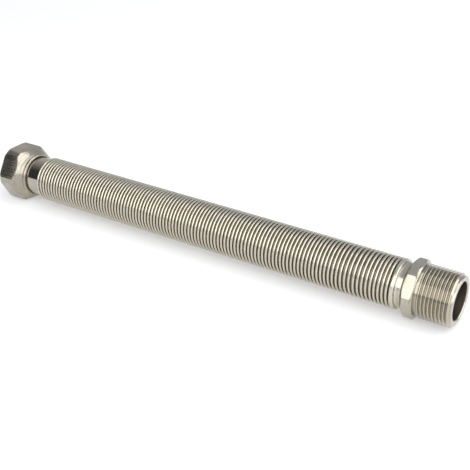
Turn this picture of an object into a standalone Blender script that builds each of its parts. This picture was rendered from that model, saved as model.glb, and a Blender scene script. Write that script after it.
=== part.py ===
"""Corrugated stainless steel hose with a swivel union nut and a male nipple.

The hose lies on a table along X: the union nut is at -X, the male thread at +X.
The nut stands on one of its flats, and the neck rests in the nut's lip.
Run with: blender --background --python part.py
"""

import math

import bpy

# Corrugated tube, in metres
CREST_RADIUS = 0.0125
ROOT_RADIUS = 0.0109
TUBE_WALL = 0.00035
RIDGE_COUNT = 107
RIDGE_PITCH = 0.00204
OPENED_FIRST = 90
OPENED_COUNT = 15
OPENED_EXTRA = 0.00021
CUFF_LENGTH = 0.0006
COLLAR_LENGTH = 0.0032
COLLAR_EDGE = 0.0004

# Pipe thread of both ends, G 3/4; its grooves are rings here, not a helix
THREAD_MAJOR_RADIUS = 0.01322
THREAD_DEPTH = 0.00116
THREAD_PITCH = 0.001814
THREAD_CREST_WIDTH = 0.0004
THREAD_ROOT_WIDTH = 0.0004
THREAD_RELIEF = 0.0005

# Spigots of both fittings, which sit inside the tube's folds
SPIGOT_PLAY = 0.0007
SPIGOT_WALL = 0.00045
SPIGOT_LENGTH = 0.006

# Swivel tail: a neck with a flange that holds the nut
TAIL_NECK_WALL = 0.0017
TAIL_NECK_LENGTH = 0.01135
FLANGE_CATCH = 0.00045
FLANGE_THICKNESS = 0.0018

# Union nut
NUT_FLATS_WALL = 0.00178
NUT_CORNER_RISE = 0.0015
NUT_FACE_CHAMFER = 0.0007
NUT_LIP_PLAY = 0.00045
NUT_LIP_LENGTH = 0.003
NUT_RIM_WALL = 0.00105
NUT_RIM_ROUND = 0.0002
NUT_WAIST_DROP = 0.0007
NUT_WAIST_DEPTH = 0.0041
NUT_CONE_DEPTH = 0.0024
NUT_RELIEF_LENGTH = 0.0032
NUT_RELIEF_DEPTH = 0.0003
NUT_RELIEF_TAPER = 0.0013
NUT_THREAD_LENGTH = 0.0102
NUT_ENTRY_CHAMFER = 0.0012

# Flat gasket inside the nut
GASKET_THICKNESS = 0.002
GASKET_HOLE_STEP = 0.0009
GASKET_CLEARANCE = 0.0003

# Male nipple
NIPPLE_NECK_WALL = 0.00195
NIPPLE_NECK_LENGTH = 0.0017
HEX_FLATS_STEP = 0.00028
HEX_CORNER_RISE = 0.0011
HEX_BACK_RISE = 0.00055
HEX_BACK_CHAMFER = 0.002
HEX_BAND = 0.0038
HEX_FRONT_CHAMFER = 0.0008
THREAD_LENGTH = 0.017
THREAD_END_CHAMFER = 0.0015
MOUTH_CHAMFER = 0.0005

# Clearances
JOINT_GAP = 0.0003
CUTTER_OVERSHOOT = 0.002
MERGE_DISTANCE = 0.00001

# Sides of the round pieces
TUBE_SIDES = 16
TUBE_BORE_SIDES = 10
FITTING_SIDES = 24
HEX_SIDES = 6
SHARP_ANGLE = math.radians(32.0)

# Colours as seen in daylight: red, green, blue
STEEL_COLOUR = (0.62, 0.59, 0.55)
NICKEL_COLOUR = (0.70, 0.67, 0.61)
GASKET_COLOUR = (0.06, 0.06, 0.065)


def clear_scene():
    for old_object in list(bpy.data.objects):
        bpy.data.objects.remove(old_object, do_unlink=True)


def new_collection(name):
    collection = bpy.data.collections.new(name)
    bpy.context.scene.collection.children.link(collection)
    return collection


def new_material(name, colour, metallic, roughness):
    material = bpy.data.materials.new(name)
    material.use_nodes = True
    shader = material.node_tree.nodes["Principled BSDF"]
    shader.inputs["Base Color"].default_value = (*colour, 1.0)
    shader.inputs["Metallic"].default_value = metallic
    shader.inputs["Roughness"].default_value = roughness
    material.diffuse_color = (*colour, 1.0)
    return material


def new_object(name, mesh, collection, centre):
    """Place a mesh made around local Z so that its axis runs along world X."""
    placed = bpy.data.objects.new(name, mesh)
    placed.location = centre
    placed.rotation_euler = (0.0, math.radians(90.0), 0.0)
    collection.objects.link(placed)
    return placed


def make_turned(name, outline, sides, collection, centre, closed=True):
    """Spin an outline of (along, radius) points, listed from +axis to -axis on its outer side."""
    points = [(radius, 0.0, along) for along, radius in outline]
    edges = [(index, index + 1) for index in range(len(points) - 1)]
    if closed:
        edges.append((len(points) - 1, 0))
    mesh = bpy.data.meshes.new(name)
    mesh.from_pydata(points, edges, [])
    turned = new_object(name, mesh, collection, centre)
    screw = turned.modifiers.new("Turn", "SCREW")
    screw.axis = "Z"
    screw.angle = math.tau
    screw.steps = sides
    screw.render_steps = sides
    screw.use_merge_vertices = True
    screw.merge_threshold = MERGE_DISTANCE
    return turned


def make_hex_bar(name, flats, start, end, collection, centre):
    """A hexagonal bar along the hose, with one flat facing down."""
    bpy.ops.mesh.primitive_cylinder_add(
        vertices=HEX_SIDES,
        radius=flats / 2.0 / math.cos(math.pi / HEX_SIDES),
        depth=end - start,
    )
    bar = bpy.context.active_object
    bar.name = name
    for parent in list(bar.users_collection):
        parent.objects.unlink(bar)
    collection.objects.link(bar)
    middle = (start + end) / 2.0
    bar.location = (centre[0] + middle, centre[1], centre[2])
    bar.rotation_euler = (0.0, math.radians(90.0), 0.0)
    return bar


def set_as_cutter(cutter):
    cutter.hide_render = True
    cutter.display_type = "WIRE"


def add_boolean(target, cutter, operation):
    set_as_cutter(cutter)
    boolean = target.modifiers.new(operation.title(), "BOOLEAN")
    boolean.operation = operation
    boolean.solver = "EXACT"
    boolean.object = cutter


def finish_piece(piece, material):
    """Bake the modifiers, so that sharp edges can be marked, and add the material."""
    graph = bpy.context.evaluated_depsgraph_get()
    mesh = bpy.data.meshes.new_from_object(piece.evaluated_get(graph))
    piece.modifiers.clear()
    piece.data = mesh
    mesh.name = piece.name
    mesh.shade_smooth()
    mesh.set_sharp_from_angle(angle=SHARP_ANGLE)
    mesh.materials.clear()
    mesh.materials.append(material)
    return piece


def opened_by(ridge):
    """Extra space after a ridge, in the stretch where the hose was pulled open a little."""
    share = (ridge - OPENED_FIRST) / OPENED_COUNT
    if share <= 0.0 or share >= 1.0:
        return 0.0
    return OPENED_EXTRA * math.sin(math.pi * share) ** 2


def ridge_places():
    """Distance of each ridge's crest from the first one."""
    places = [0.0]
    for ridge in range(1, RIDGE_COUNT):
        places.append(places[-1] + RIDGE_PITCH + opened_by(ridge))
    return places


# Places along the hose, from the first crest; the hose's own axis is at radius 0
crests = ridge_places()
tube_start = -RIDGE_PITCH / 2.0 - CUFF_LENGTH
collar_start = crests[-1] + RIDGE_PITCH / 2.0
tube_end = collar_start + COLLAR_EDGE + COLLAR_LENGTH

tail_neck_end = tube_start - JOINT_GAP
flange_back = tail_neck_end - TAIL_NECK_LENGTH
flange_face = flange_back - FLANGE_THICKNESS

# Radii: the bore comes from the tube's folds, the outsides of nut and hexagon from the thread
thread_minor_radius = THREAD_MAJOR_RADIUS - THREAD_DEPTH
spigot_radius = ROOT_RADIUS - TUBE_WALL - SPIGOT_PLAY
flow_radius = spigot_radius - SPIGOT_WALL
tail_neck_radius = flow_radius + TAIL_NECK_WALL
nipple_neck_radius = flow_radius + NIPPLE_NECK_WALL
hex_back_radius = nipple_neck_radius + HEX_BACK_RISE
hex_flats = 2.0 * (THREAD_MAJOR_RADIUS + HEX_FLATS_STEP)
hex_corner_radius = hex_flats / 2.0 + HEX_CORNER_RISE

lip_radius = tail_neck_radius + NUT_LIP_PLAY
flange_radius = lip_radius + FLANGE_CATCH
nut_rise = NUT_LIP_PLAY - JOINT_GAP
relief_radius = THREAD_MAJOR_RADIUS + NUT_RELIEF_DEPTH
nut_flats = 2.0 * (THREAD_MAJOR_RADIUS + NUT_FLATS_WALL)
nut_corner_radius = nut_flats / 2.0 + NUT_CORNER_RISE
nut_waist_radius = nut_flats / 2.0 - NUT_WAIST_DROP
nut_shoulder = flange_back + JOINT_GAP
nut_rim = nut_shoulder + NUT_LIP_LENGTH
nut_relief_end = nut_shoulder - NUT_RELIEF_LENGTH
nut_front = nut_relief_end - NUT_THREAD_LENGTH

gasket_back = flange_face - JOINT_GAP
gasket_front = gasket_back - GASKET_THICKNESS
gasket_radius = thread_minor_radius - GASKET_CLEARANCE
gasket_hole_radius = flow_radius - GASKET_HOLE_STEP

nipple_start = tube_end + JOINT_GAP
hex_start = nipple_start + NIPPLE_NECK_LENGTH
hex_band_start = hex_start + HEX_BACK_CHAMFER
hex_band_end = hex_band_start + HEX_BAND
thread_start = hex_band_end + HEX_FRONT_CHAMFER
thread_end = thread_start + THREAD_LENGTH
mouth = thread_end + THREAD_END_CHAMFER

# Axes in the world: the nut stands on a flat, and the hose hangs lower by the nut's play
nut_height = nut_flats / 2.0
hose_height = nut_height - nut_rise
shift_x = -(nut_front + mouth) / 2.0
HOSE_CENTRE = (shift_x, 0.0, hose_height)
NUT_CENTRE = (shift_x, 0.0, nut_height)


def tube_outline(crest_radius, root_radius):
    """Folds of the tube from its +X end to its -X end, as crests and roots."""
    outline = [(collar_start, root_radius)]
    for index in range(RIDGE_COUNT - 1, -1, -1):
        outline.append((crests[index], crest_radius))
        if index:
            outline.append(((crests[index] + crests[index - 1]) / 2.0, root_radius))
    outline.append((-RIDGE_PITCH / 2.0, root_radius))
    return outline


def make_corrugated_tube(parts, cutters, material):
    """Thin folded tube with a short cuff at the nut and a smooth collar at the nipple."""
    outer = [
        (tube_end, 0.0),
        (tube_end, CREST_RADIUS - COLLAR_EDGE),
        (tube_end - COLLAR_EDGE, CREST_RADIUS),
        (collar_start + COLLAR_EDGE, CREST_RADIUS),
    ]
    outer += tube_outline(CREST_RADIUS, ROOT_RADIUS)
    outer += [(tube_start, ROOT_RADIUS), (tube_start, 0.0)]
    tube = make_turned("corrugated_tube", outer, TUBE_SIDES, parts, HOSE_CENTRE, closed=False)

    inner_root = ROOT_RADIUS - TUBE_WALL
    inner = [(tube_end + CUTTER_OVERSHOOT, 0.0), (tube_end + CUTTER_OVERSHOOT, inner_root)]
    inner += tube_outline(CREST_RADIUS - TUBE_WALL, inner_root)
    inner += [(tube_start - CUTTER_OVERSHOOT, inner_root), (tube_start - CUTTER_OVERSHOOT, 0.0)]
    bore = make_turned("tube_bore_cutter", inner, TUBE_BORE_SIDES, cutters, HOSE_CENTRE, closed=False)
    add_boolean(tube, bore, "DIFFERENCE")
    return finish_piece(tube, material)


def thread_outline(start, end, crest_radius, root_radius):
    """Ring grooves of a thread, from its end back towards its start, as (along, radius) points."""
    flank = (THREAD_PITCH - THREAD_CREST_WIDTH - THREAD_ROOT_WIDTH) / 2.0
    count = int((end - start) / THREAD_PITCH)
    outline = []
    for groove in range(count):
        crest = end - groove * THREAD_PITCH
        root = crest - THREAD_CREST_WIDTH - flank
        outline += [
            (crest, crest_radius),
            (crest - THREAD_CREST_WIDTH, crest_radius),
            (root, root_radius),
            (root - THREAD_ROOT_WIDTH, root_radius),
        ]
    outline.append((end - count * THREAD_PITCH, crest_radius))
    return outline


def make_swivel_tail(parts, material):
    """Turned neck: spigot in the tube, smooth neck through the nut, flange behind the gasket."""
    outline = [
        (tube_start + SPIGOT_LENGTH, flow_radius),
        (tube_start + SPIGOT_LENGTH, spigot_radius),
        (tail_neck_end, spigot_radius),
        (tail_neck_end, tail_neck_radius),
        (flange_back, tail_neck_radius),
        (flange_back, flange_radius),
        (flange_face, flange_radius),
        (flange_face, flow_radius),
    ]
    tail = make_turned("swivel_tail", outline, FITTING_SIDES, parts, HOSE_CENTRE)
    return finish_piece(tail, material)


def make_union_nut(parts, cutters, material):
    """Loose hexagon nut with a coned back, an inner lip, a relief and the grooved bore."""
    rim_radius = lip_radius + NUT_RIM_WALL
    entry_radius = thread_minor_radius + NUT_ENTRY_CHAMFER
    waist = nut_rim - NUT_WAIST_DEPTH
    thread_entry = nut_front + NUT_ENTRY_CHAMFER
    thread = thread_outline(thread_entry, nut_relief_end, thread_minor_radius, THREAD_MAJOR_RADIUS)
    outline = [
        (nut_rim, lip_radius),
        (nut_rim, rim_radius - NUT_RIM_ROUND),
        (nut_rim - NUT_RIM_ROUND, rim_radius),
        (waist, nut_waist_radius),
        (waist - NUT_CONE_DEPTH, nut_corner_radius),
        (nut_front + NUT_FACE_CHAMFER, nut_corner_radius),
        (nut_front, nut_corner_radius - NUT_FACE_CHAMFER),
        (nut_front, entry_radius),
        (thread_entry, thread_minor_radius),
    ]
    outline += thread[::-1]
    outline += [
        (nut_relief_end, relief_radius),
        (nut_shoulder - NUT_RELIEF_TAPER, relief_radius),
        (nut_shoulder, flange_radius + NUT_LIP_PLAY),
        (nut_shoulder, lip_radius),
    ]
    nut = make_turned("union_nut", outline, FITTING_SIDES, parts, NUT_CENTRE)
    bar = make_hex_bar(
        "nut_hex_cutter",
        nut_flats,
        nut_front - CUTTER_OVERSHOOT,
        nut_rim + CUTTER_OVERSHOOT,
        cutters,
        NUT_CENTRE,
    )
    add_boolean(nut, bar, "INTERSECT")
    return finish_piece(nut, material)


def make_flat_gasket(parts, material):
    """Flat ring that lies in the nut, against the tail's flange."""
    outline = [
        (gasket_back, gasket_hole_radius),
        (gasket_back, gasket_radius),
        (gasket_front, gasket_radius),
        (gasket_front, gasket_hole_radius),
    ]
    gasket = make_turned("flat_gasket", outline, FITTING_SIDES, parts, NUT_CENTRE)
    return finish_piece(gasket, material)


def make_male_nipple(parts, cutters, material):
    """Turned nipple: spigot in the tube, neck, chamfered hexagon and the male thread."""
    outline = [
        (mouth, flow_radius + MOUTH_CHAMFER),
        (mouth, THREAD_MAJOR_RADIUS - THREAD_END_CHAMFER),
    ]
    outline += thread_outline(
        thread_start + THREAD_RELIEF, thread_end, THREAD_MAJOR_RADIUS, thread_minor_radius
    )
    outline += [
        (thread_start, thread_minor_radius),
        (thread_start, THREAD_MAJOR_RADIUS),
        (hex_band_end, hex_corner_radius),
        (hex_band_start, hex_corner_radius),
        (hex_start, hex_back_radius),
        (hex_start, nipple_neck_radius),
        (nipple_start, nipple_neck_radius),
        (nipple_start, spigot_radius),
        (tube_end - SPIGOT_LENGTH, spigot_radius),
        (tube_end - SPIGOT_LENGTH, flow_radius),
        (mouth - MOUTH_CHAMFER, flow_radius),
    ]
    nipple = make_turned("male_nipple", outline, FITTING_SIDES, parts, HOSE_CENTRE)
    bar = make_hex_bar(
        "nipple_hex_cutter",
        hex_flats,
        tube_end - SPIGOT_LENGTH - CUTTER_OVERSHOOT,
        mouth + CUTTER_OVERSHOOT,
        cutters,
        HOSE_CENTRE,
    )
    add_boolean(nipple, bar, "INTERSECT")
    return finish_piece(nipple, material)


def main():
    clear_scene()
    parts = new_collection("corrugated_hose")
    cutters = new_collection("corrugated_hose_cutters")
    steel = new_material("stainless_tube", STEEL_COLOUR, 1.0, 0.32)
    nut_nickel = new_material("nut_nickel", NICKEL_COLOUR, 1.0, 0.24)
    tail_nickel = new_material("tail_nickel", NICKEL_COLOUR, 1.0, 0.16)
    nipple_nickel = new_material("nipple_nickel", NICKEL_COLOUR, 1.0, 0.26)
    seal = new_material("gasket_rubber", GASKET_COLOUR, 0.0, 0.8)
    make_corrugated_tube(parts, cutters, steel)
    make_swivel_tail(parts, tail_nickel)
    make_union_nut(parts, cutters, nut_nickel)
    make_flat_gasket(parts, seal)
    make_male_nipple(parts, cutters, nipple_nickel)


main()
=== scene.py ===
import math
import random

import bmesh
import bpy
from mathutils import Matrix, Vector


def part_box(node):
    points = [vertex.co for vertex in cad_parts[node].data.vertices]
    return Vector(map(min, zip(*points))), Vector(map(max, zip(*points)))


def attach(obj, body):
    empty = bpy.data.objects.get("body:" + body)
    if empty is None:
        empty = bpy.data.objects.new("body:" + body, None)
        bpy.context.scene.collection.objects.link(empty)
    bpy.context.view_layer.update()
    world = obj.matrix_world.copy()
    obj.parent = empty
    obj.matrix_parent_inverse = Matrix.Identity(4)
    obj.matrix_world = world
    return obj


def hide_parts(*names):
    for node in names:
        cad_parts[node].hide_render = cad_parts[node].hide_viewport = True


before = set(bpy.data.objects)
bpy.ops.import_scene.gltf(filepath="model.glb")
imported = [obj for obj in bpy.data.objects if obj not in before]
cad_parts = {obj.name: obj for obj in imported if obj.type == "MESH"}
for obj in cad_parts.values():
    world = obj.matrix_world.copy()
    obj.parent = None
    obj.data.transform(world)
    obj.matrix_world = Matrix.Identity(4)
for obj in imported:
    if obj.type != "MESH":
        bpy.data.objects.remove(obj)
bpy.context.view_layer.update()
print("frame loaded, nodes:", len(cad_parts))

mm = 0.001
xAxis = (1.0, 0.0, 0.0)


# Places along the hose and heights of the two axes, all from the solids
def middleHeight(node):
    low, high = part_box(node)
    return (low.z + high.z) / 2


hoseHeight = middleHeight("corrugated_tube")
nutHeight = middleHeight("union_nut")
tubeStart, tubeEnd = (corner.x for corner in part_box("corrugated_tube"))
tailStart, tailEnd = (corner.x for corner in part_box("swivel_tail"))
nutStart, nutEnd = (corner.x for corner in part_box("union_nut"))
sealStart, sealEnd = (corner.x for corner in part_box("flat_gasket"))
nippleStart, nippleEnd = (corner.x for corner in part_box("male_nipple"))


# Camera, at the photo's angle: it looks down along the hose from the thread's side
camera = {
    "place": (0.2381, -0.3502, 0.23735),
    "aim": (0.0158, -0.0001, 0.0142),
    "lens": 69.1,
    "sensor": 36.0,
    "nearest": 0.01,
}


def makeCamera():
    lens = bpy.data.cameras.new("photoCamera")
    lens.lens = camera["lens"]
    lens.sensor_width = camera["sensor"]
    lens.clip_start = camera["nearest"]
    eye = bpy.data.objects.new("photoCamera", lens)
    bpy.context.scene.collection.objects.link(eye)
    eye.location = camera["place"]
    look = Vector(camera["aim"]) - Vector(camera["place"])
    eye.rotation_euler = look.to_track_quat("-Z", "Y").to_euler()
    bpy.context.scene.camera = eye


# Studio: pale floor, pale surroundings, three white panels and one graded dark card
studio = {
    "floorSize": 40.0,
    "floorDrop": 0.02 * mm,
    "floorColour": (0.66, 0.66, 0.66, 1.0),
    "floorRoughness": 0.9,
    "floorShine": 0.1,
    "floorGlow": 0.30,
    "skyColour": (0.61, 0.64, 0.69, 1.0),
}

# centre, direction it faces, width, height and brightness of each panel
panels = {
    "frontPanel": {"place": (0.10, -1.10, 0.96), "faces": (0, 1, 0), "size": (2.0, 1.56), "glow": 1.88},
    "topPanel": {"place": (0.61, -0.25, 1.50), "faces": (0, 0, -1), "size": (1.38, 1.6), "glow": 1.77},
    "sidePanel": {"place": (1.30, 0.10, 0.60), "faces": (-1, 0, 0), "size": (2.4, 1.0), "glow": 1.92},
}

# the card stands beyond the nut; it is dark in front and gets as pale as the room towards its back
darkCard = {
    "place": (-0.62, -0.20, 0.52),
    "size": (1.50, 1.0),
    "colour": (0.012, 0.012, 0.014, 1.0),
    "roughness": 1.0,
    "shine": 0.0,
    "fadeStart": -0.36,
    "fadeEnd": 0.46,
    "darkGlow": 0.045,
    "paleGlow": 0.66,
}


# Small helpers for node materials
def plainMaterial(name):
    material = bpy.data.materials.new(name)
    material.use_nodes = True
    return material, material.node_tree.nodes, material.node_tree.links


def linked(nodes, links, kind, sources=(), values=(), **settings):
    made = nodes.new(kind)
    for name, value in settings.items():
        setattr(made, name, value)
    for key, value in values:
        made.inputs[key].default_value = value
    for key, source in sources:
        links.new(source, made.inputs[key])
    return made


def combined(nodes, links, operation, first, second):
    return linked(nodes, links, "ShaderNodeMath", [(0, first), (1, second)], operation=operation).outputs[0]


def spread(nodes, links, source, low, high, toLow, toHigh):
    values = [("From Min", low), ("From Max", high), ("To Min", toLow), ("To Max", toHigh)]
    return linked(nodes, links, "ShaderNodeMapRange", [("Value", source)], values).outputs["Result"]


def paperMaterial(name, colour, roughness, shine):
    material, nodes, links = plainMaterial(name)
    shader = nodes["Principled BSDF"]
    shader.inputs["Base Color"].default_value = colour
    shader.inputs["Roughness"].default_value = roughness
    shader.inputs["Specular IOR Level"].default_value = shine
    shader.inputs["Emission Color"].default_value = (1, 1, 1, 1)
    return material, nodes, links, shader.inputs["Emission Strength"]


def stageObject(name, bm, material):
    mesh = bpy.data.meshes.new(name)
    bm.to_mesh(mesh)
    bm.free()
    mesh.materials.append(material)
    made = bpy.data.objects.new(name, mesh)
    bpy.context.scene.collection.objects.link(made)
    return made


def makeFloor():
    name, roughness, shine = "floorPaper", studio["floorRoughness"], studio["floorShine"]
    material, nodes, links, glowStrength = paperMaterial(name, studio["floorColour"], roughness, shine)
    # the floor reads as white to the eye and in reflections, and keeps the hose's shadow
    rays = nodes.new("ShaderNodeLightPath").outputs
    seen = combined(nodes, links, "MAXIMUM", rays["Is Camera Ray"], rays["Is Glossy Ray"])
    seen = combined(nodes, links, "MAXIMUM", seen, rays["Is Transmission Ray"])
    glowValue = [(1, studio["floorGlow"])]
    glow = linked(nodes, links, "ShaderNodeMath", [(0, seen)], glowValue, operation="MULTIPLY")
    links.new(glow.outputs[0], glowStrength)
    bm = bmesh.new()
    bmesh.ops.create_grid(bm, x_segments=1, y_segments=1, size=studio["floorSize"] / 2)
    bmesh.ops.translate(bm, verts=bm.verts, vec=(0, 0, -studio["floorDrop"]))
    stageObject("studioFloor", bm, material)


def makeSky():
    world = bpy.data.worlds.new("studioSky")
    world.use_nodes = True
    back = world.node_tree.nodes["Background"]
    back.inputs["Color"].default_value = studio["skyColour"]
    back.inputs["Strength"].default_value = 1.0
    bpy.context.scene.world = world


def makePanel(name, panel):
    width, height = panel["size"]
    light = bpy.data.lights.new(name, "AREA")
    light.shape = "RECTANGLE"
    light.size = width
    light.size_y = height
    light.energy = panel["glow"] * math.pi * width * height
    lamp = bpy.data.objects.new(name, light)
    bpy.context.scene.collection.objects.link(lamp)
    lamp.location = panel["place"]
    lamp.rotation_euler = Vector(panel["faces"]).to_track_quat("-Z", "Y").to_euler()
    lamp.visible_camera = False


def makeDarkCard():
    name, roughness, shine = "cardFelt", darkCard["roughness"], darkCard["shine"]
    material, nodes, links, glowStrength = paperMaterial(name, darkCard["colour"], roughness, shine)
    place = nodes.new("ShaderNodeTexCoord").outputs["Object"]
    parts = linked(nodes, links, "ShaderNodeSeparateXYZ", [(0, place)])
    fade = (darkCard["fadeStart"], darkCard["fadeEnd"], darkCard["darkGlow"], darkCard["paleGlow"])
    links.new(spread(nodes, links, parts.outputs["Y"], *fade), glowStrength)
    wide, tall = darkCard["size"]
    upright = Matrix.Rotation(math.radians(-90), 3, "Y")
    bm = bmesh.new()
    bmesh.ops.create_grid(bm, x_segments=1, y_segments=1, size=0.5)
    bmesh.ops.scale(bm, vec=(tall, wide, 1), verts=bm.verts)
    bmesh.ops.rotate(bm, cent=(0, 0, 0), matrix=upright, verts=bm.verts)
    bmesh.ops.translate(bm, verts=bm.verts, vec=darkCard["place"])
    card = stageObject("darkCard", bm, material)
    card.visible_camera = False


# Distances within which places count as the same, for merged points, cuts, open rings and the thread
near = {"merge": 0.0005 * mm, "cut": 0.0001 * mm, "ring": 0.001 * mm, "thread": 0.005 * mm}
edgeAngle = math.radians(35)  # edges sharper than this stay crisp
manySided = 12  # faces with this many corners or more are the spanner flats, which aren't smoothed


# Shapes: outlines are lists of (place along the hose, radius), turned round the hose's axis
def arc(along, radius, size, start, end, count):
    points = []
    for index in range(count):
        angle = math.radians(start + (end - start) * index / (count - 1))
        points.append((along + size * math.cos(angle), radius + size * math.sin(angle)))
    return points


def turnOutline(bm, outline, height, steps, closed):
    verts = [bm.verts.new((along, 0.0, height + radius)) for along, radius in outline]
    edges = [bm.edges.new(pair) for pair in zip(verts, verts[1:])]
    if closed:
        edges.append(bm.edges.new((verts[-1], verts[0])))
    bmesh.ops.spin(
        bm, geom=verts + edges, cent=(0, 0, height), axis=xAxis, angle=math.tau, steps=steps, use_merge=True
    )


def cutFlats(bm, across, height, edge):
    flats = []
    mark = bm.faces.layers.float["flats"]
    for index in range(6):
        angle = math.radians(30 + 60 * index)
        normal = Vector((0, math.cos(angle), math.sin(angle)))
        middle = Vector((0, 0, height)) + normal * across / 2
        cut = bmesh.ops.bisect_plane(
            bm,
            geom=bm.verts[:] + bm.edges[:] + bm.faces[:],
            dist=near["cut"],
            plane_co=middle,
            plane_no=normal,
            clear_outer=True,
        )
        rim = [item for item in cut["geom_cut"] if isinstance(item, bmesh.types.BMEdge)]
        filled = bmesh.ops.edgeloop_fill(bm, edges=rim)
        flats += filled["faces"]
    for flat in flats:
        flat[mark] = 1.0
    edges = list({rimEdge for flat in flats for rimEdge in flat.edges})
    bmesh.ops.bevel(
        bm, geom=edges, offset=edge, affect="EDGES", segments=2, profile=0.5, material=-1, clamp_overlap=True
    )


def ringAt(bm, place):
    rims = [edge for edge in bm.edges if edge.is_boundary]
    return [edge for edge in rims if all(abs(vert.co.x - place) < near["ring"] for vert in edge.verts)]


def bridgeAt(bm, first, second):
    bmesh.ops.bridge_loops(bm, edges=ringAt(bm, first) + ringAt(bm, second))


# Pipe thread, G 3/4: pitch, flanks at 27.5 degrees, round crests and roots
pipeThread = {
    "pitch": 1.814 * mm,
    "majorRadius": 13.22 * mm,
    "minorRadius": 12.06 * mm,
    "round": 0.249 * mm,
    "flankAngle": 62.5,
    "steps": 72,
}


def threadOutline():
    size, lean = pipeThread["round"], pipeThread["flankAngle"]
    low = pipeThread["minorRadius"] + size
    high = pipeThread["majorRadius"] - size
    pitch = pipeThread["pitch"]
    outline = arc(0, low, size, 270, 270 + lean, 3)
    outline += arc(pitch / 2, high, size, 90 + lean, 90 - lean, 5)
    outline += arc(pitch, low, size, 270 - lean, 270, 3)
    return outline


def threadSheet(bm, start, end, height, setRadius):
    # a chain one pitch long, wound up as a right-handed screw that starts and ends beyond the piece,
    # then shaped by setRadius and cut off square at both ends
    pitch, steps = pipeThread["pitch"], pipeThread["steps"]
    turns = math.ceil((end - start) / pitch) + 2
    outline = [(start - 1.5 * pitch + along, radius) for along, radius in threadOutline()]
    sheet = bmesh.new()
    verts = [sheet.verts.new((along, 0.0, height + radius)) for along, radius in outline]
    edges = [sheet.edges.new(pair) for pair in zip(verts, verts[1:])]
    bmesh.ops.spin(
        sheet,
        geom=verts + edges,
        cent=(0, 0, height),
        axis=xAxis,
        dvec=(pitch / steps, 0, 0),
        angle=math.tau * turns,
        steps=steps * turns,
    )
    bmesh.ops.remove_doubles(sheet, verts=sheet.verts, dist=near["thread"])
    for vert in sheet.verts:
        fromAxis = Vector((0, vert.co.y, vert.co.z - height))
        radius = setRadius(vert.co.x, fromAxis.length)
        fromAxis *= radius / fromAxis.length
        vert.co.y, vert.co.z = fromAxis.y, height + fromAxis.z
    for place, side in ((start, -1), (end, 1)):
        bmesh.ops.bisect_plane(
            sheet,
            geom=sheet.verts[:] + sheet.edges[:] + sheet.faces[:],
            dist=near["cut"],
            plane_co=(place, 0, height),
            plane_no=(side, 0, 0),
            clear_outer=True,
        )
    mesh = bpy.data.meshes.new("threadSheet")
    sheet.to_mesh(mesh)
    sheet.free()
    bm.from_mesh(mesh)
    bpy.data.meshes.remove(mesh)


def finishPiece(name, bm, material, body, node):
    bmesh.ops.remove_doubles(bm, verts=bm.verts, dist=near["merge"])
    bmesh.ops.recalc_face_normals(bm, faces=bm.faces)
    for face in bm.faces:
        face.smooth = len(face.verts) < manySided
    mesh = bpy.data.meshes.new(name)
    bm.to_mesh(mesh)
    bm.free()
    mesh.set_sharp_from_angle(angle=edgeAngle)
    mesh.materials.append(material)
    piece = bpy.data.objects.new(name, mesh)
    bpy.context.scene.collection.objects.link(piece)
    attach(piece, body)
    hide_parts(node)
    mesh.calc_loop_triangles()
    print(name, "triangles:", len(mesh.loop_triangles))


# Folded tube: 107 round folds, a short cuff at the nut and a smooth collar at the nipple
folds = {
    "count": 107,
    "pitch": 2.04 * mm,
    "crestRadius": 12.5 * mm,
    "rootRadius": 10.9 * mm,
    "crestRound": 0.66 * mm,
    "wall": 0.3 * mm,
    "openedFirst": 90,
    "openedCount": 15,
    "openedExtra": 0.21 * mm,
    "firstGap": 0.2 * mm,
    "cuff": 0.6 * mm,
    "collarRound": 0.7 * mm,
    "weldedLength": 0.95 * mm,
    "weldedRadius": 11.35 * mm,
    "unevenness": 0.03 * mm,
    "steps": 60,
}


def foldPlaces():
    places = [tubeStart + folds["cuff"] + folds["pitch"] / 2]
    for fold in range(1, folds["count"]):
        share = (fold - folds["openedFirst"]) / folds["openedCount"]
        opened = math.sin(math.pi * share) ** 2 if 0 < share < 1 else 0
        places.append(places[-1] + folds["pitch"] + folds["openedExtra"] * opened)
    return places


def collarPlace():
    return foldPlaces()[-1] + folds["pitch"] / 2


def makeFoldedTube(material):
    places = foldPlaces()
    chance = random.Random(4)
    crest, root, size, wall = folds["crestRadius"], folds["rootRadius"], folds["crestRound"], folds["wall"]
    collarStart = collarPlace()
    jogs = [chance.uniform(-1, 1) * folds["unevenness"] for _ in places]
    drops = [chance.uniform(0, 1) * folds["unevenness"] for _ in places]
    centres = [place + jog for place, jog in zip(places, jogs)]
    centres[0] -= folds["firstGap"]
    outer = [(tubeStart, root)]
    inner = [(tubeStart, root - wall)]
    for index, centre in enumerate(centres):
        top = crest - drops[index]
        outer += arc(centre, top - size, size, 180, 0, 7)
        inner.append((centre - size + wall, root + size / 2))
        inner.append((centre - size / 3, top - wall))
        inner.append((centre + size / 3, top - wall))
        inner.append((centre + size - wall, root + size / 2))
        follow = centres[index + 1] - size if index + 1 < len(centres) else collarStart + size / 3
        half = (follow - centre - size) / 2
        valley = centre + size + half
        outer += arc(valley, root + half, half, 180, 360, 3)
    # the collar is the last, wide fold: smooth, with round edges; behind it the tube hugs the nipple's neck
    edge = folds["collarRound"]
    collarEnd = tubeEnd - folds["weldedLength"]
    outer += arc(collarStart + size / 3 + edge, crest - edge, edge, 180, 90, 6)
    outer += arc(collarEnd - edge, crest - edge, edge, 90, 0, 6)
    outer += [(collarEnd, folds["weldedRadius"]), (tubeEnd, folds["weldedRadius"])]
    inner += [(collarStart, root - wall), (tubeEnd, root - wall)]
    bm = bmesh.new()
    turnOutline(bm, outer + inner[::-1], hoseHeight, folds["steps"], closed=True)
    finishPiece("foldedTube", bm, material, "hose", "corrugated_tube")


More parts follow.
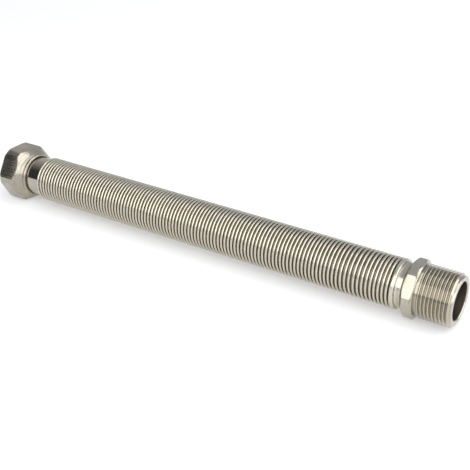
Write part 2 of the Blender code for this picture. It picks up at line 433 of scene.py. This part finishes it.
# Swivel tail: spigot in the tube, polished neck, flange in the nut
tail = {
    "neckRadius": 11.1 * mm,
    "boreRadius": 9.4 * mm,
    "spigotRadius": 9.85 * mm,
    "flangeRadius": 12.0 * mm,
    "flangeThickness": 1.8 * mm,
    "flangeRound": 0.25 * mm,
    "steps": 96,
}


def makeSwivelTail(material):
    soft = tail["flangeRound"]
    flangeBack = tailStart + tail["flangeThickness"]
    outline = [(tailEnd, tail["boreRadius"]), (tailEnd, tail["spigotRadius"])]
    outline += [(tubeStart, tail["spigotRadius"]), (tubeStart, tail["neckRadius"])]
    outline += [(flangeBack + soft, tail["neckRadius"])]
    outline += [(flangeBack, tail["neckRadius"] + soft)]
    outline += arc(flangeBack - soft, tail["flangeRadius"] - soft, soft, 0, 90, 3)
    outline += arc(tailStart + soft, tail["flangeRadius"] - soft, soft, 90, 180, 3)
    outline += [(tailStart, tail["boreRadius"] + soft), (tailStart + soft, tail["boreRadius"])]
    bm = bmesh.new()
    turnOutline(bm, outline, hoseHeight, tail["steps"], closed=True)
    finishPiece("swivelNeck", bm, material, "hose", "swivel_tail")


# Union nut: hexagon, steep cone, long cone and a round rim at the back; lip, relief and thread inside
nut = {
    "across": 30.0 * mm,
    "cornerRadius": 16.5 * mm,
    "faceChamfer": 0.7 * mm,
    "lipRadius": 11.32 * mm,
    "lipRound": 0.15 * mm,
    "lipLength": 3.0 * mm,
    "rimRadius": 12.8 * mm,
    "rimRound": 0.85 * mm,
    "valleyDepth": 1.75 * mm,
    "valleyWidth": 0.3 * mm,
    "valleyRadius": 12.05 * mm,
    "valleyLean": 0.05 * mm,
    "valleyFoot": 0.75 * mm,
    "waistRadius": 14.3 * mm,
    "waistDepth": 4.1 * mm,
    "waistSoftBack": (0.5 * mm, 0.26 * mm),
    "waistSoftFront": (0.2 * mm, 0.14 * mm),
    "coneDepth": 2.4 * mm,
    "reliefLength": 3.2 * mm,
    "reliefRadius": 13.52 * mm,
    "reliefTaper": 1.3 * mm,
    "flangeSpace": 12.45 * mm,
    "entryRadius": 13.26 * mm,
    "edge": 0.14 * mm,
    "trim": 0.12 * mm,
    "steps": 96,
}


def makeUnionNut(material):
    shoulder = nutEnd - nut["lipLength"]
    reliefEnd = shoulder - nut["reliefLength"]
    waist = nutEnd - nut["waistDepth"]
    corner, entry = nut["cornerRadius"], nut["entryRadius"]
    lip, lipRound, rim, rimRound = nut["lipRadius"], nut["lipRound"], nut["rimRadius"], nut["rimRound"]
    outline = [(reliefEnd, entry), (reliefEnd, nut["reliefRadius"])]
    outline += [(shoulder - nut["reliefTaper"], nut["reliefRadius"]), (shoulder, nut["flangeSpace"])]
    outline += [(shoulder, lip + lipRound), (shoulder + lipRound, lip)]
    outline += [(nutEnd - lipRound, lip), (nutEnd, lip + lipRound)]
    outline += arc(nutEnd - rimRound, rim - rimRound, rimRound, 0, 145, 9)
    valley = nutEnd - nut["valleyDepth"]
    valleyRadius, foot = nut["valleyRadius"], nut["valleyFoot"]
    outline += [(valley, valleyRadius), (valley - nut["valleyWidth"], valleyRadius + nut["valleyLean"])]
    outline += [(valley - foot, valleyRadius + foot)]
    back, drop = nut["waistSoftBack"]
    front, rise = nut["waistSoftFront"]
    outline += [(waist + back, nut["waistRadius"] - drop), (waist, nut["waistRadius"])]
    outline += [(waist - front, nut["waistRadius"] + rise), (waist - nut["coneDepth"], corner)]
    outline += [(nutStart + nut["faceChamfer"], corner), (nutStart, corner - nut["faceChamfer"])]
    outline += [(nutStart, entry + nut["trim"]), (nutStart, entry)]
    bm = bmesh.new()
    bm.faces.layers.float.new("flats")
    turnOutline(bm, outline, nutHeight, nut["steps"], closed=False)
    cutFlats(bm, nut["across"], nutHeight, nut["edge"])

    def setRadius(along, radius):
        return max(radius, entry - (along - nutStart), entry - (reliefEnd - along))

    threadStart, threadEnd = nutStart + nut["trim"], reliefEnd - nut["trim"]
    threadSheet(bm, threadStart, threadEnd, nutHeight, setRadius)
    bridgeAt(bm, nutStart, threadStart)
    bridgeAt(bm, reliefEnd, threadEnd)
    finishPiece("unionNut", bm, material, "nut", "union_nut")


# Seal: a flat rubber ring with slightly round edges
seal = {"radius": 11.76 * mm, "holeRadius": 8.5 * mm, "round": 0.3 * mm, "steps": 72}


def makeSeal(material):
    soft, hole, rim = seal["round"], seal["holeRadius"], seal["radius"]
    outline = arc(sealEnd - soft, rim - soft, soft, 0, 90, 3)
    outline += arc(sealStart + soft, rim - soft, soft, 90, 180, 3)
    outline += arc(sealStart + soft, hole + soft, soft, 180, 270, 3)
    outline += arc(sealEnd - soft, hole + soft, soft, 270, 360, 3)
    bm = bmesh.new()
    turnOutline(bm, outline, nutHeight, seal["steps"], closed=True)
    finishPiece("rubberSeal", bm, material, "nut", "flat_gasket")


# Male nipple: spigot, neck, hexagon with a coned back, and the male thread
nipple = {
    "neckRadius": 11.35 * mm,
    "neckLength": 2.0 * mm,
    "coneStartRadius": 11.9 * mm,
    "coneDepth": 2.0 * mm,
    "across": 27.0 * mm,
    "cornerRadius": 14.6 * mm,
    "band": 3.8 * mm,
    "frontChamfer": 0.8 * mm,
    "frontRadius": 13.3 * mm,
    "reliefRadius": 12.25 * mm,
    "reliefLength": 0.7 * mm,
    "runOut": 0.9 * mm,
    "endChamfer": 1.5 * mm,
    "boreRadius": 9.4 * mm,
    "boreChamfer": 0.5 * mm,
    "spigotRadius": 9.85 * mm,
    "corner": 0.15 * mm,
    "edge": 0.14 * mm,
    "trim": 0.12 * mm,
    "steps": 96,
}


def hexFrontPlace():
    hexLength = nipple["coneDepth"] + nipple["band"] + nipple["frontChamfer"]
    return tubeEnd + nipple["neckLength"] + hexLength


def makeMaleNipple(material):
    neck, corner, soft, trim = nipple["neckRadius"], nipple["cornerRadius"], nipple["corner"], nipple["trim"]
    hexStart = tubeEnd + nipple["neckLength"]
    bandStart = hexStart + nipple["coneDepth"]
    bandEnd = bandStart + nipple["band"]
    threadStart = hexFrontPlace()
    relief, mouthRadius = nipple["reliefRadius"], pipeThread["majorRadius"] - nipple["endChamfer"]
    outline = [(threadStart, relief), (threadStart, nipple["frontRadius"] - soft)]
    outline += [(threadStart - soft, nipple["frontRadius"]), (bandEnd, corner), (bandStart, corner)]
    outline += [(hexStart, nipple["coneStartRadius"]), (hexStart, neck + soft), (hexStart - soft, neck)]
    outline += [(tubeEnd, neck), (tubeEnd, nipple["spigotRadius"])]
    outline += [(nippleStart, nipple["spigotRadius"]), (nippleStart, nipple["boreRadius"])]
    outline += [(nippleEnd - nipple["boreChamfer"], nipple["boreRadius"])]
    outline += [(nippleEnd, nipple["boreRadius"] + nipple["boreChamfer"]), (nippleEnd, mouthRadius)]
    bm = bmesh.new()
    bm.faces.layers.float.new("flats")
    turnOutline(bm, outline, hoseHeight, nipple["steps"], closed=False)
    cutFlats(bm, nipple["across"], hoseHeight, nipple["edge"])

    def setRadius(along, radius):
        share = (along - threadStart - nipple["reliefLength"]) / nipple["runOut"]
        share = min(max(share, 0), 1)
        radius = relief + (radius - relief) * share
        return min(radius, mouthRadius + nippleEnd - along)

    threadSheet(bm, threadStart + trim, nippleEnd - trim, hoseHeight, setRadius)
    bridgeAt(bm, threadStart, threadStart + trim)
    bridgeAt(bm, nippleEnd, nippleEnd - trim)
    finishPiece("maleNipple", bm, material, "hose", "male_nipple")


# Materials
def turnedCoordinates(nodes, links, height):
    # place, place along the hose, radius from the axis, and a vector whose noise runs in rings
    place = nodes.new("ShaderNodeTexCoord").outputs["Object"]
    axis = [(1, (0, 0, height))]
    centred = linked(nodes, links, "ShaderNodeVectorMath", [(0, place)], axis, operation="SUBTRACT")
    parts = linked(nodes, links, "ShaderNodeSeparateXYZ", [(0, centred.outputs[0])]).outputs
    across = linked(nodes, links, "ShaderNodeCombineXYZ", [("Y", parts["Y"]), ("Z", parts["Z"])])
    length = linked(nodes, links, "ShaderNodeVectorMath", [(0, across.outputs[0])], operation="LENGTH")
    radius = length.outputs["Value"]
    angle = combined(nodes, links, "ARCTAN2", parts["Z"], parts["Y"])
    rings = linked(nodes, links, "ShaderNodeCombineXYZ", [("X", parts["X"]), ("Y", radius), ("Z", angle)])
    return place, parts["X"], radius, rings.outputs[0]


def scaledNoise(nodes, links, source, scale, detail):
    sized = linked(nodes, links, "ShaderNodeMapping", [("Vector", source)], [("Scale", scale)])
    values = [("Detail", detail), ("Scale", 1.0)]
    return linked(nodes, links, "ShaderNodeTexNoise", [("Vector", sized.outputs[0])], values).outputs["Fac"]


def addBump(nodes, links, grain, strength, distance):
    values = [("Strength", strength), ("Distance", distance)]
    bump = linked(nodes, links, "ShaderNodeBump", [("Height", grain)], values)
    links.new(bump.outputs[0], nodes["Principled BSDF"].inputs["Normal"])


def mixNumbers(nodes, links, factor, first, second):
    mixed = nodes.new("ShaderNodeMix")
    mixed.data_type = "FLOAT"
    links.new(factor, mixed.inputs[0])
    for socket, value in ((mixed.inputs[2], first), (mixed.inputs[3], second)):
        if isinstance(value, float):
            socket.default_value = value
        else:
            links.new(value, socket)
    return mixed.outputs[0]


def mixColours(nodes, links, factor, first, second, blend="MIX"):
    mixed = nodes.new("ShaderNodeMix")
    mixed.data_type = "RGBA"
    mixed.blend_type = blend
    if isinstance(factor, float):
        mixed.inputs["Factor"].default_value = factor
    else:
        links.new(factor, mixed.inputs["Factor"])
    for socket, value in ((mixed.inputs[6], first), (mixed.inputs[7], second)):
        if isinstance(value, tuple):
            socket.default_value = (*value, 1.0)
        else:
            links.new(value, socket)
    return mixed.outputs[2]


# A finish: plain colour, painted shade colour deep in the grooves and the radii between which that painted
# shade fades, range of roughness, and scale and strength of the turned rings and the stains. The tube's
# painted groove shade gets darker along the hose towards the nipple.
finishes = {
    "foldSteel": {
        "colour": (0.57, 0.53, 0.44),
        "grooveShadeColour": (0.32, 0.275, 0.205),
        "openedShadeColour": (0.15, 0.125, 0.09),
        "openedShadeFrom": -20 * mm,
        "openedShadeTo": 70 * mm,
        "fullShadeRadius": 11.1 * mm,
        "noShadeRadius": 12.1 * mm,
        "roughness": (0.20, 0.34),
        "ringScale": (3000, 3000, 2.0),
        "ringBump": 0.02,
        "spotScale": 260,
        "spotDepth": 0.07,
    },
    "nutNickel": {
        "colour": (0.44, 0.405, 0.335),
        "grooveShadeColour": (0.20, 0.175, 0.13),
        "fullShadeRadius": 12.1 * mm,
        "noShadeRadius": 13.6 * mm,
        "roughness": (0.16, 0.32),
        "ringScale": (1600, 1600, 1.2),
        "ringBump": 0.04,
        "spotScale": 180,
        "spotDepth": 0.26,
    },
    "neckNickel": {
        "colour": (0.46, 0.43, 0.37),
        "roughness": (0.06, 0.13),
        "ringScale": (2600, 2600, 1.0),
        "ringBump": 0.03,
        "spotScale": 240,
        "spotDepth": 0.10,
    },
    "nippleNickel": {
        "colour": (0.475, 0.44, 0.365),
        "grooveShadeColour": (0.33, 0.295, 0.23),
        "fullShadeRadius": 12.0 * mm,
        "noShadeRadius": 12.9 * mm,
        "roughness": (0.12, 0.24),
        "ringScale": (1800, 1800, 1.2),
        "ringBump": 0.04,
        "spotScale": 200,
        "spotDepth": 0.12,
    },
}
# the bore's dark colour is painted shade inside the hose; its roughness is its own dull finish
boreShadeAndDull = {"radius": 9.55 * mm, "colour": (0.13, 0.105, 0.085), "roughness": 0.5}
drawnScale = (90, 2600, 2600)  # grain of the flats, which runs along the hose
grainDetail, spotDetail = 3.0, 4.0
grainSpan, spotSpan = (0.3, 0.7), (0.35, 0.7)  # the noise values between which a finish changes
colourStep, bumpDistance = 0.05 * mm, 0.05 * mm


def grooveShadedColour(nodes, links, finish, along, radius, stained, shadeFrom, shadeTo):
    # painted shade: darker at small radii, but only between the places where the grooves start and end
    unshaded = spread(nodes, links, radius, finish["fullShadeRadius"], finish["noShadeRadius"], 0.0, 1.0)
    for limit, low, high in ((shadeFrom, 1.0, 0.0), (shadeTo, 0.0, 1.0)):
        if limit is not None:
            beyond = spread(nodes, links, along, limit - colourStep, limit + colourStep, low, high)
            unshaded = combined(nodes, links, "MAXIMUM", unshaded, beyond)
    grooveShadeColour = finish["grooveShadeColour"]
    if "openedShadeColour" in finish:
        opened = spread(nodes, links, along, finish["openedShadeFrom"], finish["openedShadeTo"], 0.0, 1.0)
        grooveShadeColour = mixColours(nodes, links, opened, grooveShadeColour, finish["openedShadeColour"])
    return mixColours(nodes, links, unshaded, grooveShadeColour, stained)


def metalFinish(name, height, shadeFrom=None, shadeTo=None):
    finish = finishes[name]
    material, nodes, links = plainMaterial(name)
    shader = nodes["Principled BSDF"]
    shader.inputs["Metallic"].default_value = 1.0
    place, along, radius, rings = turnedCoordinates(nodes, links, height)
    ringNoise = scaledNoise(nodes, links, rings, finish["ringScale"], grainDetail)
    spotNoise = scaledNoise(nodes, links, place, (finish["spotScale"],) * 3, spotDetail)
    drawnNoise = scaledNoise(nodes, links, place, drawnScale, grainDetail)
    flats = linked(nodes, links, "ShaderNodeAttribute", attribute_name="flats").outputs["Fac"]
    stain = spread(nodes, links, spotNoise, *spotSpan, 1.0, 1.0 - finish["spotDepth"])
    colour = mixColours(nodes, links, 1.0, finish["colour"], stain, "MULTIPLY")
    # painted shade in the grooves, laid over the stained colour
    if "grooveShadeColour" in finish:
        colour = grooveShadedColour(nodes, links, finish, along, radius, colour, shadeFrom, shadeTo)
    # painted shade: the bore is coloured dark, and its roughness is set dull below
    bore = spread(nodes, links, radius, boreShadeAndDull["radius"], boreShadeAndDull["radius"] + colourStep, 1.0, 0.0)
    links.new(mixColours(nodes, links, bore, colour, boreShadeAndDull["colour"]), shader.inputs["Base Color"])
    grain = mixNumbers(nodes, links, flats, ringNoise, drawnNoise)
    rough = spread(nodes, links, grain, *grainSpan, *finish["roughness"])
    links.new(mixNumbers(nodes, links, bore, rough, boreShadeAndDull["roughness"]), shader.inputs["Roughness"])
    addBump(nodes, links, grain, finish["ringBump"], bumpDistance)
    return material


rubber = {
    "dark": (0.018, 0.018, 0.020),
    "pale": (0.055, 0.053, 0.052),
    "roughness": (0.6, 0.85),
    "grainScale": 1500,
    "bump": 0.3,
    "bumpDistance": 0.03 * mm,
}


def rubberFinish(name):
    material, nodes, links = plainMaterial(name)
    shader = nodes["Principled BSDF"]
    place = nodes.new("ShaderNodeTexCoord").outputs["Object"]
    grain = scaledNoise(nodes, links, place, (rubber["grainScale"],) * 3, grainDetail)
    links.new(mixColours(nodes, links, grain, rubber["dark"], rubber["pale"]), shader.inputs["Base Color"])
    links.new(spread(nodes, links, grain, *grainSpan, *rubber["roughness"]), shader.inputs["Roughness"])
    addBump(nodes, links, grain, rubber["bump"], rubber["bumpDistance"])
    return material


makeCamera()
makeFloor()
makeSky()
for name, panel in panels.items():
    makePanel(name, panel)
makeDarkCard()
print("studio made")

# the groove limits say where the grooves get painted shade
makeFoldedTube(metalFinish("foldSteel", hoseHeight, shadeTo=collarPlace()))
makeSwivelTail(metalFinish("neckNickel", hoseHeight))
makeUnionNut(metalFinish("nutNickel", nutHeight, shadeTo=nutEnd - nut["lipLength"]))
makeSeal(rubberFinish("sealRubber"))
mouthPlace = nippleEnd - nipple["endChamfer"]
makeMaleNipple(metalFinish("nippleNickel", hoseHeight, shadeFrom=hexFrontPlace(), shadeTo=mouthPlace))
print("hose made")

bpy.context.scene.view_settings.view_transform = "Standard"
